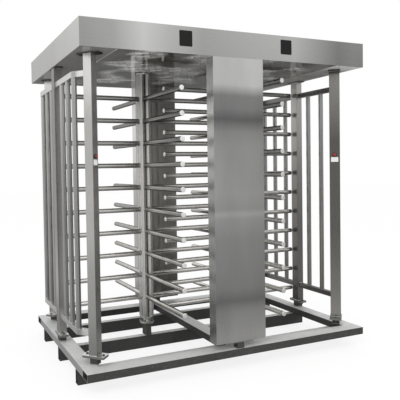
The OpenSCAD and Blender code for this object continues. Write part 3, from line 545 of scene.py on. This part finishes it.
def joinCopies(thing, name, spots):
    copies = []
    for spot in spots:
        twin = thing.copy()
        twin.data = thing.data.copy()
        bpy.context.scene.collection.objects.link(twin)
        twin.matrix_world = spot
        copies.append(twin)
    bpy.data.objects.remove(thing)
    activate(copies[0])
    joined = joinParts(*copies)
    joined.name = name
    return joined


halfTurn = Matrix.Rotation(math.pi, 4, "Z")


def spotAt(x, y, z, turn=0.0):
    return Matrix.Translation((x, y, z)) @ Matrix.Rotation(turn, 4, "Z")


half = {"cornerX": 1.052, "cornerY": 0.580, "sideX": 1.137, "rotorX": 0.420}


def plateSpots():
    spots = []
    for side in (-1, 1):
        for end in (-1, 1):
            spots.append((side * half["cornerX"], end * half["cornerY"], -side * end * math.radians(45)))
        spots.append((side * half["sideX"], 0.0, math.radians(90)))
    return spots


# Hexagon bolt with a washer, a chamfered head and a nut below
boltPart = {"headRadius": 0.0095, "headHeight": 0.0068, "headShare": 0.7, "chamferShare": 0.3,
            "chamfer": 0.84, "washerRadius": 0.0105, "washer": 0.0016, "shank": 0.005, "tip": 0.004,
            "tipEdge": 0.001, "nut": 0.0085, "nutRise": 0.00475, "edge": 0.0004, "low": 0.191,
            "high": 0.216, "footHigh": 0.220, "offset": 0.062, "circle": 0.048, "plateTwist": 0.4,
            "footTwist": 1.7}


def makeBolt(high):
    washer = place(bpy.ops.mesh.primitive_cylinder_add, vertices=24, radius=boltPart["washerRadius"],
                   depth=boltPart["washer"], location=(0, 0, high + boltPart["washer"] / 2))
    headLow = high + boltPart["washer"]
    headTall = boltPart["headHeight"] * boltPart["headShare"]
    head = place(bpy.ops.mesh.primitive_cylinder_add, vertices=6, radius=boltPart["headRadius"],
                 depth=headTall, location=(0, 0, headLow + headTall / 2))
    faceSelect(head, lambda face: face.normal.z > squarely)
    extrudeBy(boltPart["headHeight"] * boltPart["chamferShare"])
    bpy.ops.transform.resize(value=(boltPart["chamfer"], boltPart["chamfer"], 1),
                             center_override=(0, 0, headLow))
    leaveEdit()
    tip = boltPart["low"] - boltPart["tip"]
    shank = place(bpy.ops.mesh.primitive_cylinder_add, vertices=16, radius=boltPart["shank"],
                  depth=high - tip, location=(0, 0, (high + tip) / 2))
    faceSelect(shank, lambda face: face.normal.z < -squarely)
    bpy.ops.mesh.inset(thickness=boltPart["tipEdge"])
    moveBy(0, 0, -boltPart["tipEdge"])
    leaveEdit()
    nut = place(bpy.ops.mesh.primitive_cylinder_add, vertices=6, radius=boltPart["headRadius"],
                depth=boltPart["nut"], location=(0, 0, boltPart["low"] + boltPart["nutRise"]))
    bolt = joinParts(washer, head, shank, nut)
    edge = bolt.modifiers.new("edge", "BEVEL")
    edge.width = boltPart["edge"]
    edge.segments = 1
    applyModifiers(bolt)
    applyPlace()
    return bolt


def makeBolts():
    plateBolts = []
    for x, y, turn in plateSpots():
        for way in (-1, 1):
            dx, dy = way * boltPart["offset"] * math.cos(turn), way * boltPart["offset"] * math.sin(turn)
            plateBolts.append(spotAt(x + dx, y + dy, 0, boltPart["plateTwist"] * way + turn))
    footBolts = []
    for side in (-1, 1):
        for quarter in range(4):
            a = math.radians(45 + 90 * quarter)
            footBolts.append(spotAt(side * half["rotorX"] + boltPart["circle"] * math.cos(a),
                                    boltPart["circle"] * math.sin(a), 0, a * boltPart["footTwist"]))
    plates = joinCopies(makeBolt(boltPart["high"]), "plateBolts", plateBolts)
    feet = joinCopies(makeBolt(boltPart["footHigh"]), "footBearingBolts", footBolts)
    for piece in (plates, feet):
        settle(piece, finishes["plateBolt"], "frame")
        smoothBy(25)
        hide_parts("flange_bolts")


makeBolts()
print("bolts made")

# Weld beads: a ring of small overlapping ripples where a post stands on its plate
weldPart = {"ripples": 22, "swell": 0.0011, "gain": 8, "cornerReach": 1.36, "thick": 0.0026,
            "around": 112, "across": 8, "postSide": 0.060, "postLonger": 0.020, "postZ": 0.2165,
            "topLift": 2.0285, "stubSide": 0.056, "stubZ": 0.1555}


def squareWeld(side, z, longer=0.0):
    ring = place(bpy.ops.mesh.primitive_torus_add, major_segments=weldPart["around"],
                 minor_segments=weldPart["across"], major_radius=side / 2, minor_radius=weldPart["thick"],
                 location=(0, 0, z))
    tiny = 1e-6
    for vertex in ring.data.vertices:
        x, y = vertex.co.x, vertex.co.y
        a = math.atan2(y, x)
        push = min(1 / max(abs(math.cos(a)), tiny), 1 / max(abs(math.sin(a)), tiny), weldPart["cornerReach"])
        ripple = 1 + weldPart["swell"] / side * weldPart["gain"] * abs(math.sin(a * weldPart["ripples"]))
        reach = side / 2 * push + (math.hypot(x, y) - side / 2) * ripple
        vertex.co.x = reach * math.cos(a)
        vertex.co.y = reach * math.sin(a) + math.copysign(longer / 2, math.sin(a))
    applyPlace()
    return ring


def finishWelds(piece, finish):
    settle(piece, finishes[finish], "frame")
    bpy.ops.object.shade_smooth()


def makeWelds():
    foot = squareWeld(weldPart["postSide"], weldPart["postZ"], weldPart["postLonger"])
    spots = [spotAt(x, y, 0, turn if y else 0.0) for x, y, turn in plateSpots()]
    tops = [Matrix.Translation((0, 0, weldPart["topLift"])) @ spot for spot in spots]
    finishWelds(joinCopies(foot, "postWelds", spots + tops), "boltSteel")
    stub = squareWeld(weldPart["stubSide"], weldPart["stubZ"])
    stubs = joinCopies(stub, "stubWelds", [spotAt(x, y, 0, turn) for x, y, turn in plateSpots()])
    finishWelds(stubs, "baseSteel")


makeWelds()
print("welds made")

# Round weld where each guard bar meets its rails
barPart = {"radius": 0.019, "thick": 0.0017, "low": 0.3812, "high": 2.0998, "around": 28, "across": 6,
           "ripple": 0.0003, "rippleStep": 1.9, "reach": 0.485, "bars": 3}


def makeBarWelds():
    ring = place(bpy.ops.mesh.primitive_torus_add, major_segments=barPart["around"],
                 minor_segments=barPart["across"], major_radius=barPart["radius"],
                 minor_radius=barPart["thick"], location=(0, 0, 0))
    for index, vertex in enumerate(ring.data.vertices):
        vertex.co.z += barPart["ripple"] * math.sin(index * barPart["rippleStep"])
    spots = []
    for side in (-1, 1):
        for end in (-1, 1):
            for i in range(1, barPart["bars"] + 1):
                for z in (barPart["low"], barPart["high"]):
                    y = end * barPart["reach"] * i / barPart["bars"]
                    spots.append(spotAt(side * half["sideX"], y, z))
    finishWelds(joinCopies(ring, "barWelds", spots), "boltSteel")


makeBarWelds()

# Weld where each end of a rail meets its post
railPart = {"side": 0.040, "low": 0.361, "high": 2.120, "cornerFace": 0.0305, "sideFace": 0.0405}


def makeRailWelds():
    bead = squareWeld(railPart["side"], 0.0)
    bead.data.transform(Matrix.Rotation(math.radians(90), 4, "Y"))
    spots = []
    for z in (railPart["low"], railPart["high"]):
        for side in (-1, 1):
            for end in (-1, 1):
                turn = -side * end * math.radians(45)
                out = side * railPart["cornerFace"]
                spots.append(spotAt(side * half["cornerX"] + out * math.cos(turn),
                                    end * half["cornerY"] + out * math.sin(turn), z, turn))
                spots.append(spotAt(side * half["sideX"], end * railPart["sideFace"], z, math.radians(90)))
    finishWelds(joinCopies(bead, "railWelds", spots), "boltSteel")


makeRailWelds()
print("guard welds made")

# Cover of each cabinet: a folded strip over its joint, held by pan-headed screws
coverPart = {"faceY": 0.672, "low": 0.214, "high": 2.248, "middle": -0.013, "wide": 0.074, "thick": 0.0016,
             "fold": 0.005, "foldShare": 0.8, "crease": 0.0004, "screwRadius": 0.005, "screwHigh": 0.0022,
             "screwEdge": 0.0008, "flatAbove": 0.99, "recess": 0.0022, "recessDeep": 0.0014, "rows": 9,
             "margin": 0.08, "columnX": 0.195}


def makeCoverStrips():
    tall = coverPart["high"] - coverPart["low"]
    strip = place(bpy.ops.mesh.primitive_cube_add, size=1,
                  location=(coverPart["middle"], 0, coverPart["low"] + tall / 2),
                  scale=(coverPart["wide"], coverPart["thick"], tall))
    applyPlace()
    faceSelect(strip, lambda face: face.normal.y < -squarely)
    bpy.ops.mesh.inset(thickness=coverPart["fold"])
    moveBy(0, -coverPart["thick"] * coverPart["foldShare"], 0)
    leaveEdit()
    crease = strip.modifiers.new("crease", "BEVEL")
    crease.width = coverPart["crease"]
    crease.segments = 2
    applyModifiers(strip)
    spot = spotAt(0, coverPart["faceY"], 0)
    strips = joinCopies(strip, "coverStrips", [spot, halfTurn @ spot])
    settle(strips, finishes["innerCabinet"], "frame")
    smoothBy(30)


def makeCoverScrews():
    screw = place(bpy.ops.mesh.primitive_cylinder_add, vertices=24, radius=coverPart["screwRadius"],
                  depth=coverPart["screwHigh"], location=(0, 0, coverPart["screwHigh"] / 2))
    applyPlace()
    faceSelect(screw, lambda face: face.normal.z > squarely)
    bpy.ops.mesh.bevel(offset=coverPart["screwEdge"], segments=3)
    leaveEdit()
    faceSelect(screw, lambda face: face.normal.z > coverPart["flatAbove"])
    bpy.ops.mesh.inset(thickness=coverPart["recess"])
    extrudeBy(-coverPart["recessDeep"])
    leaveEdit()
    screw.data.transform(Matrix.Rotation(math.radians(90), 4, "X"))
    step = (coverPart["high"] - coverPart["low"] - 2 * coverPart["margin"]) / (coverPart["rows"] - 1)
    spots = []
    for row in range(coverPart["rows"]):
        for x in (-coverPart["columnX"], coverPart["columnX"]):
            spot = spotAt(x, coverPart["faceY"], coverPart["low"] + coverPart["margin"] + row * step)
            spots += [spot, halfTurn @ spot]
    screws = joinCopies(screw, "coverScrews", spots)
    settle(screws, finishes["boltSteel"], "frame")
    smoothBy(30)


makeCoverStrips()
makeCoverScrews()
print("cabinet covers detailed")

# Turned-in lip under each end of the canopy, with a hem along its inner edge
lipPart = {"outer": 1.172, "inner": 0.922, "long": 1.516, "low": 2.2520, "high": 2.2532, "hem": 0.0045,
           "border": 0.006, "hollow": 0.0004, "hemEdge": 0.0008}


def makeLip(name, turn):
    wide = lipPart["outer"] - lipPart["inner"]
    lip = place(bpy.ops.mesh.primitive_cube_add, size=1,
                location=(lipPart["inner"] + wide / 2, 0, (lipPart["low"] + lipPart["high"]) / 2),
                scale=(wide, lipPart["long"], lipPart["high"] - lipPart["low"]))
    applyPlace()
    faceSelect(lip, lambda face: face.normal.z < -squarely)
    bpy.ops.mesh.inset(thickness=lipPart["border"])
    moveBy(0, 0, lipPart["hollow"])
    leaveEdit()
    hem = place(bpy.ops.mesh.primitive_cylinder_add, vertices=12, radius=lipPart["hem"],
                depth=lipPart["long"], location=(lipPart["inner"], 0, lipPart["low"] + lipPart["hollow"]),
                rotation=(math.radians(90), 0, 0))
    faceSelect(hem, lambda face: abs(face.normal.z) > squarely)
    bpy.ops.mesh.inset(thickness=lipPart["hemEdge"])
    leaveEdit()
    lip = joinParts(lip, hem)
    applyPlace()
    turned = joinCopies(lip, name + "CanopyLip", [Matrix.Rotation(turn, 4, "Z")])
    settle(turned, finishes[name + "Lip"], "frame")
    smoothBy(40)


makeLip("right", 0.0)
makeLip("left", math.pi)
print("canopy lips made")

# Screws under each cabinet's floor, beside its foot plate
sillPart = {"y": 0.735, "low": 0.2005, "high": 0.2083, "radius": 0.0065, "recess": 0.0022,
            "recessDeep": 0.004, "twist": 9, "row": (-0.19, -0.165, -0.14, 0.14, 0.165, 0.19)}


def makeSillScrews():
    screw = place(bpy.ops.mesh.primitive_cylinder_add, vertices=6, radius=sillPart["radius"],
                  depth=sillPart["high"] - sillPart["low"],
                  location=(0, 0, (sillPart["high"] + sillPart["low"]) / 2))
    applyPlace()
    faceSelect(screw, lambda face: face.normal.z < -squarely)
    bpy.ops.mesh.inset(thickness=sillPart["recess"])
    extrudeBy(-sillPart["recessDeep"])
    leaveEdit()
    screws = joinCopies(screw, "sillScrews", [
        spotAt(x, end * sillPart["y"], 0, x * sillPart["twist"]) for x in sillPart["row"] for end in (-1, 1)])
    settle(screws, finishes["boltSteel"], "frame")


makeSillScrews()
print("sill screws made")

# Push button: a domed red cap in a stepped black ring, with a plain plate below
buttonPart = {"z": 1.561, "postHalf": 0.030, "capRadius": 0.0119, "capLow": 0.0051, "capHigh": 0.0119,
              "capDrop": 0.003, "dome": ((0.93, 0.0013), (0.8, 0.0009), (0.6, 0.0005), (0.3, 0.0003)),
              "ringRadius": 0.017, "ringHigh": 0.008, "ringTaper": 0.9, "bore": 0.0121, "boreStep": 0.0008,
              "boreFall": 0.001, "boreDeep": 0.006, "plateDrop": 0.040, "plateWide": 0.056,
              "plateHigh": 0.038, "plateThick": 0.001, "plateCorner": 0.004}


def buttonSpot(side):
    face = Matrix.Translation((side * half["cornerX"], -half["cornerY"], buttonPart["z"]))
    face = face @ Matrix.Rotation(-side * math.radians(45), 4, "Z")
    face = face @ Matrix.Translation((0, -buttonPart["postHalf"], 0))
    return face @ Matrix.Rotation(math.radians(90), 4, "X")


def makeButton(side, name):
    tall = buttonPart["capHigh"] - buttonPart["capLow"]
    cap = place(bpy.ops.mesh.primitive_cylinder_add, vertices=48, radius=buttonPart["capRadius"], depth=tall,
                location=(0, 0, buttonPart["capLow"] + tall / 2))
    faceSelect(cap, lambda face: face.normal.z > squarely)
    moveBy(0, 0, -buttonPart["capDrop"])
    for shrink, rise in buttonPart["dome"]:
        extrudeBy(rise)
        bpy.ops.transform.resize(value=(shrink, shrink, 1), center_override=(0, 0, 0))
    leaveEdit()
    cap.matrix_world = buttonSpot(side) @ cap.matrix_world
    cap.name = name + "ButtonCap"
    settle(cap, finishes["redCap"], name + "_button")
    smoothBy(50)
    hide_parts(name + "_button")


def makeButtonRings():
    ring = place(bpy.ops.mesh.primitive_cylinder_add, vertices=48, radius=buttonPart["ringRadius"],
                 depth=buttonPart["ringHigh"], location=(0, 0, buttonPart["ringHigh"] / 2))
    faceSelect(ring, lambda face: face.normal.z > squarely)
    taper = buttonPart["ringTaper"]
    rim = taper * buttonPart["ringRadius"]
    bpy.ops.transform.resize(value=(taper, taper, 1), center_override=(0, 0, 0))
    bpy.ops.mesh.inset(thickness=rim - buttonPart["bore"] - buttonPart["boreStep"])
    extrudeBy(-buttonPart["boreFall"])
    bpy.ops.mesh.inset(thickness=buttonPart["boreStep"])
    extrudeBy(-buttonPart["boreDeep"])
    leaveEdit()
    applyPlace()
    rings = joinCopies(ring, "buttonRings", [buttonSpot(-1), buttonSpot(1)])
    settle(rings, finishes["blackRing"], "frame")
    smoothBy(30)
    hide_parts("button_housings")


def makePlates():
    plate = place(bpy.ops.mesh.primitive_cube_add, size=1,
                  location=(0, -buttonPart["plateDrop"], buttonPart["plateThick"] / 2),
                  scale=(buttonPart["plateWide"], buttonPart["plateHigh"], buttonPart["plateThick"]))
    applyPlace()
    bpy.ops.object.mode_set(mode="EDIT")
    bpy.ops.mesh.select_mode(type="EDGE")
    bpy.ops.mesh.select_all(action="DESELECT")
    leaveEdit()
    points = plate.data.vertices
    for edge in plate.data.edges:
        a, b = (points[i].co for i in edge.vertices)
        edge.select = abs(a.z - b.z) > buttonPart["plateThick"] / 2
    bpy.ops.object.mode_set(mode="EDIT")
    bpy.ops.mesh.bevel(offset=buttonPart["plateCorner"], segments=5)
    leaveEdit()
    plates = joinCopies(plate, "plainPlates", [buttonSpot(-1), buttonSpot(1)])
    settle(plates, finishes["whitePlate"], "frame")
    smoothBy(30)
    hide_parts("blank_labels")


makeButton(-1, "left")
makeButton(1, "right")
makeButtonRings()
makePlates()
print("buttons made")

# Studio: white backdrop and soft light; steel mirrors pale and darker panels that stand side by side,
# one row of them in front of the gate and one behind it
studio = {
    "backdrop": 1.0, "diffuseLight": 0.85,
    "front": [(-1.0, 0.78), (-0.90, 0.80), (-0.70, 0.72), (-0.40, 0.62), (0.10, 0.82), (0.45, 0.95),
              (0.60, 0.68), (0.74, 0.42), (0.86, 0.20)],
    "rear": [(-1.0, 1.0), (-0.75, 0.85), (-0.50, 0.95), (-0.35, 1.0), (-0.15, 0.95), (0.05, 0.40),
             (0.25, 0.22), (0.60, 0.20), (0.80, 0.30), (0.93, 0.50)],
    "overhead": 1.5, "overheadFrom": 0.12, "overheadTo": 0.5, "rowBlend": 0.15,
    "floorColour": (0.95, 0.95, 0.947), "floorPatches": (0.95, 0.95, 0.945), "patchSize": (0.4, 0.4, 0.4),
    "floorRough": 0.9, "floorSpan": 60, "floorZ": -0.0005, "floorGlow": 0.8, "floorGain": 1.03,
    "floorMirrored": 0.45, "floorNear": 2.0, "floorFar": 3.0,
    "lampSize": 3.5, "lampTarget": (0, 0, 1.1), "lamps": {
        "keyLight": {"place": (-4.5, -5.0, 5.0), "watts": 220},
        "fillLight": {"place": (5.0, -4.0, 3.2), "watts": 70}}}


# Inputs 2 and 3 of a Mix node are its plain numbers; -1 to 1 across the gate is 0 to 1 on a ramp
def makeWorld():
    world = bpy.data.worlds.new("studioWorld")
    bpy.context.scene.world = world
    world.use_nodes = True
    tree = world.node_tree
    tree.nodes.clear()

    def add(kind, **settings):
        node = tree.nodes.new(kind)
        for key, value in settings.items():
            setattr(node, key, value)
        return node

    ray = add("ShaderNodeLightPath")
    spot = add("ShaderNodeTexCoord")
    parts = add("ShaderNodeSeparateXYZ")
    across = add("ShaderNodeMath", operation="MULTIPLY_ADD")
    across.inputs[1].default_value = 0.5
    across.inputs[2].default_value = 0.5
    rows = {}
    for row in ("front", "rear"):
        span = add("ShaderNodeValToRGB")
        span.color_ramp.interpolation = "EASE"
        while len(span.color_ramp.elements) < len(studio[row]):
            span.color_ramp.elements.new(0.5)
        for element, (x, level) in zip(span.color_ramp.elements, studio[row]):
            element.position = 0.5 + 0.5 * x
            element.color = (level, level, level, 1)
        rows[row] = span
    behind = add("ShaderNodeMapRange", interpolation_type="SMOOTHSTEP")
    behind.inputs["From Min"].default_value = -studio["rowBlend"]
    behind.inputs["From Max"].default_value = studio["rowBlend"]
    span = add("ShaderNodeMix", data_type="RGBA")
    above = add("ShaderNodeMapRange", interpolation_type="SMOOTHSTEP")
    above.inputs["From Min"].default_value = studio["overheadFrom"]
    above.inputs["From Max"].default_value = studio["overheadTo"]
    mirrored = add("ShaderNodeMix", data_type="RGBA")
    mirrored.inputs[7].default_value = (studio["overhead"], studio["overhead"], studio["overhead"], 1)
    glossy = add("ShaderNodeMix", data_type="FLOAT")
    glossy.inputs[2].default_value = studio["diffuseLight"]
    shown = add("ShaderNodeMix", data_type="FLOAT")
    shown.inputs[3].default_value = studio["backdrop"]
    light = add("ShaderNodeBackground")
    light.inputs["Color"].default_value = (1, 1, 1, 1)
    out = add("ShaderNodeOutputWorld")
    link = tree.links.new
    link(spot.outputs["Generated"], parts.inputs[0])
    link(parts.outputs["X"], across.inputs[0])
    for socket, row in ((6, "front"), (7, "rear")):
        link(across.outputs[0], rows[row].inputs["Fac"])
        link(rows[row].outputs[0], span.inputs[socket])
    link(parts.outputs["Y"], behind.inputs["Value"])
    link(behind.outputs[0], span.inputs[0])
    link(ray.outputs["Is Glossy Ray"], glossy.inputs[0])
    link(parts.outputs["Z"], above.inputs["Value"])
    link(above.outputs[0], mirrored.inputs[0])
    link(span.outputs[2], mirrored.inputs[6])
    link(mirrored.outputs[2], glossy.inputs[3])
    link(ray.outputs["Is Camera Ray"], shown.inputs[0])
    link(glossy.outputs[0], shown.inputs[2])
    link(shown.outputs[0], light.inputs["Strength"])
    link(light.outputs[0], out.inputs["Surface"])


makeWorld()


def makeFloor():
    deselectAll()
    bpy.ops.mesh.primitive_plane_add(size=studio["floorSpan"], location=(0, 0, studio["floorZ"]))
    floor = bpy.context.object
    floor.name = "studioFloor"
    paint = Finish("floorPaint")
    patch = paint.noise(studio["patchSize"], detail=1.0)
    colour = paint.blend(patch, studio["floorColour"], studio["floorPatches"])
    paint.surface({"Roughness": studio["floorRough"]}, {"Base Color": colour})
    output = next(node for node in paint.tree.nodes if node.type == "OUTPUT_MATERIAL")
    lit = Wire(paint, output.inputs["Surface"].links[0].from_socket)
    bounced = paint.make("ShaderNodeLightPath", output="Is Glossy Ray")
    muted = paint.make("ShaderNodeEmission", None, {"Strength": studio["floorMirrored"]})
    clear = paint.make("ShaderNodeBsdfTransparent")
    middle = paint.make("ShaderNodeVectorMath", {"operation": "LENGTH"}, {
        0: paint.make("ShaderNodeTexCoord", output="Object")}, output="Value")
    away = paint.make("ShaderNodeMapRange", None, {
        "Value": middle, "From Min": studio["floorNear"], "From Max": studio["floorFar"]})
    muted = paint.make("ShaderNodeMixShader", None, {0: away, 1: muted, 2: clear})
    lit = paint.make("ShaderNodeMixShader", None, {0: bounced, 1: lit, 2: muted})
    seen = paint.make("ShaderNodeLightPath", output="Is Camera Ray")
    glow = paint.make("ShaderNodeEmission", None, {"Strength": studio["floorGain"] * studio["backdrop"]})
    mixed = paint.make("ShaderNodeMixShader", None, {0: seen * studio["floorGlow"], 1: lit, 2: glow})
    paint.tree.links.new(mixed.socket, output.inputs["Surface"])
    floor.data.materials.append(paint.material)


makeFloor()


# Soft light only, and steel doesn't mirror the lamps
def addLamp(name, spot, watts):
    lamp = bpy.data.lights.new(name, "AREA")
    lamp.shape = "SQUARE"
    lamp.size = studio["lampSize"]
    lamp.energy = watts
    holder = bpy.data.objects.new(name, lamp)
    bpy.context.scene.collection.objects.link(holder)
    holder.location = spot
    holder.visible_glossy = False
    aim = [t - p for t, p in zip(studio["lampTarget"], spot)]
    flat = math.hypot(aim[0], aim[1])
    holder.rotation_euler = (math.atan2(flat, -aim[2]), 0, math.atan2(aim[1], aim[0]) - math.pi / 2)


for name, lampLook in studio["lamps"].items():
    addLamp(name, lampLook["place"], lampLook["watts"])
print("studio made")

# Camera: place, turn and lens fitted to the photograph's corners and arm ends
viewpoint = {
    "place": (-2.11572, -3.96121, 1.47412), "yaw": 0.3962, "pitch": -0.0287, "roll": -0.0176,
    "sensor": 36, "lens": 47.12, "shiftX": 0.15, "shiftY": -0.0409}


def makeCamera():
    camera = bpy.data.objects.new("photoCamera", bpy.data.cameras.new("photoCamera"))
    bpy.context.scene.collection.objects.link(camera)
    camera.data.sensor_width = viewpoint["sensor"]
    camera.data.lens = viewpoint["lens"]
    camera.data.shift_x = viewpoint["shiftX"]
    camera.data.shift_y = viewpoint["shiftY"]
    camera.location = viewpoint["place"]
    camera.rotation_mode = "XYZ"
    turn = Matrix.Rotation(-viewpoint["yaw"], 4, "Z")
    tilt = Matrix.Rotation(math.pi / 2 + viewpoint["pitch"], 4, "X")
    bank = Matrix.Rotation(viewpoint["roll"], 4, "Z")
    camera.rotation_euler = (turn @ tilt @ bank).to_euler()
    bpy.context.scene.camera = camera


makeCamera()
bpy.context.scene.view_settings.view_transform = "Standard"

print("scene ready")
